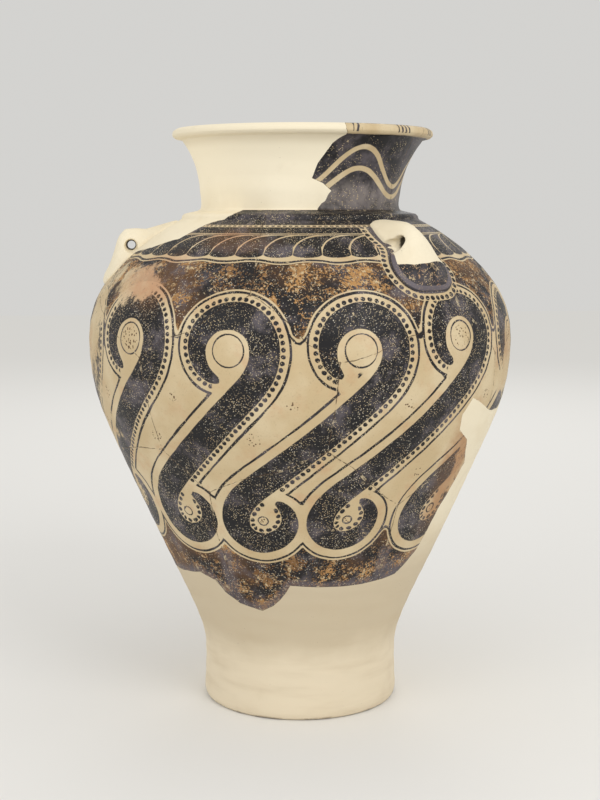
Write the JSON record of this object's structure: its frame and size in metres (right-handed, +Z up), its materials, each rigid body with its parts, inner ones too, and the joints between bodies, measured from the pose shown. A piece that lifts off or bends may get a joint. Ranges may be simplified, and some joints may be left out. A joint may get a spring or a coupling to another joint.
{
  "type": "painted storage jar",
  "caption": "Large Bronze Age storage jar with a flaring neck, pierced shoulder handles and painted spirals, mended with cream plaster.",
  "frame": {"origin": "centre of the foot's flat underside, on the surface the jar stands on", "axes": "+Z up along the jar's axis, towards the mouth; one handle lies on -X; the pictured side faces -Y, seen from 7 degrees towards -X"},
  "size_m": [0.5456, 0.5456, 0.74],
  "materials": {
    "painted_clay": "satin",
    "plaster_fill": "matte"
  },
  "bodies": {
    "root": {"belly_sherd_1": "painted_clay", "belly_sherd_2": "painted_clay", "belly_sherd_3": "painted_clay", "belly_sherd_4": "painted_clay", "belly_sherd_5": "painted_clay", "belly_sherd_6": "painted_clay", "belly_sherd_7": "painted_clay", "flank_fill": "plaster_fill", "foot_fill": "plaster_fill", "handle_back": "painted_clay", "handle_left": "plaster_fill", "handle_right": "plaster_fill", "handle_right_root": "painted_clay", "lower_sherd_1": "painted_clay", "lower_sherd_2": "painted_clay", "lower_sherd_3": "painted_clay", "lower_sherd_4": "painted_clay", "lower_sherd_5": "painted_clay", "lower_sherd_6": "painted_clay", "neck_fill": "plaster_fill", "neck_sherd_front": "painted_clay", "neck_sherd_side": "painted_clay", "shoulder_fill": "plaster_fill", "shoulder_sherd_1": "painted_clay", "shoulder_sherd_2": "painted_clay", "shoulder_sherd_3": "painted_clay", "shoulder_sherd_4": "painted_clay", "shoulder_sherd_5": "painted_clay", "shoulder_sherd_6": "painted_clay"}
  },
  "joints": []
}
